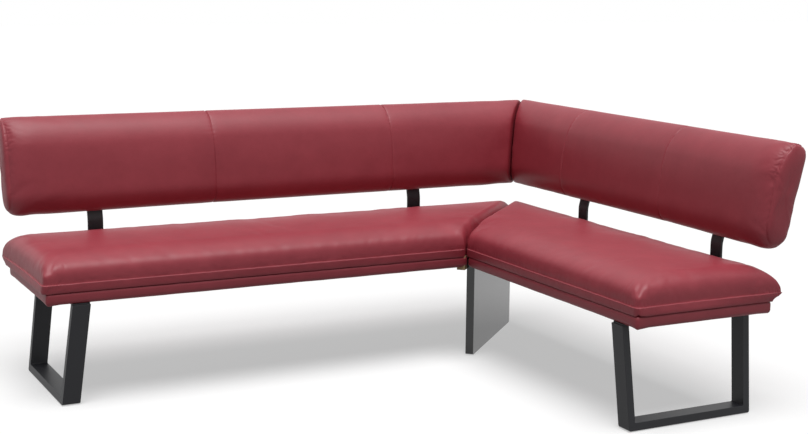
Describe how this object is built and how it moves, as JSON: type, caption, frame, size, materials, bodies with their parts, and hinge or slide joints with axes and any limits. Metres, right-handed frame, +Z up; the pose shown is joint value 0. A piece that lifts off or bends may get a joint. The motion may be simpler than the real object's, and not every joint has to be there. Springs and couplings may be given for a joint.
{
  "type": "corner bench",
  "caption": "Upholstered corner bench: leather seat and leaning backrests mitred at the corner, flat steel back struts, splayed tube sleds and a corner board.",
  "frame": {"origin": "on the floor, in the middle of the object's bounding box", "axes": "+Z up; +X along the long side towards the corner; +Y along the short side, from its free end towards the corner, so the seat faces -Y on the long side and -X on the short side"},
  "size_m": [2.208, 1.7263, 0.8938],
  "materials": {
    "leather": "smooth dark red hide with a soft satin sheen and fine grain",
    "base_leather": "the same hide, stretched over the base frame",
    "metal": "fine-textured black powder coat",
    "panel": "satin anthracite lacquer on a board",
    "wood": "bare sanded softwood",
    "plywood": "bare plywood",
    "webbing": "woven elastic webbing",
    "lining": "thin black lining cloth",
    "zinc": "zinc-plated steel",
    "glide": "pale hard plastic"
  },
  "bodies": {
    "root": {"long_seat_cushion": "leather", "short_seat_cushion": "leather", "long_base_cover": "base_leather", "short_base_cover": "base_leather", "long_front_rail": "wood", "long_back_rail": "wood", "long_end_rail": "wood", "long_cross_rails": "wood", "short_front_rail": "wood", "short_back_rail": "wood", "short_end_rail": "wood", "short_cross_rails": "wood", "short_mitre_rail": "wood", "corner_cleat": "wood", "long_webbing": "webbing", "short_webbing": "webbing", "long_lining": "lining", "short_lining": "lining", "long_back_cushion": "leather", "short_back_cushion": "leather", "long_back_board": "plywood", "short_back_board": "plywood", "long_end_strut": "metal", "long_corner_strut": "metal", "short_corner_strut": "metal", "short_end_strut": "metal", "strut_screws": "zinc", "board_bolts": "zinc", "long_sled_frame": "metal", "short_sled_frame": "metal", "long_sled_plate": "metal", "short_sled_plate": "metal", "sled_screws": "zinc", "long_sled_glides": "glide", "short_sled_glides": "glide", "corner_panel": "panel", "corner_bolts": "zinc", "panel_glides": "glide"}
  },
  "joints": []
}
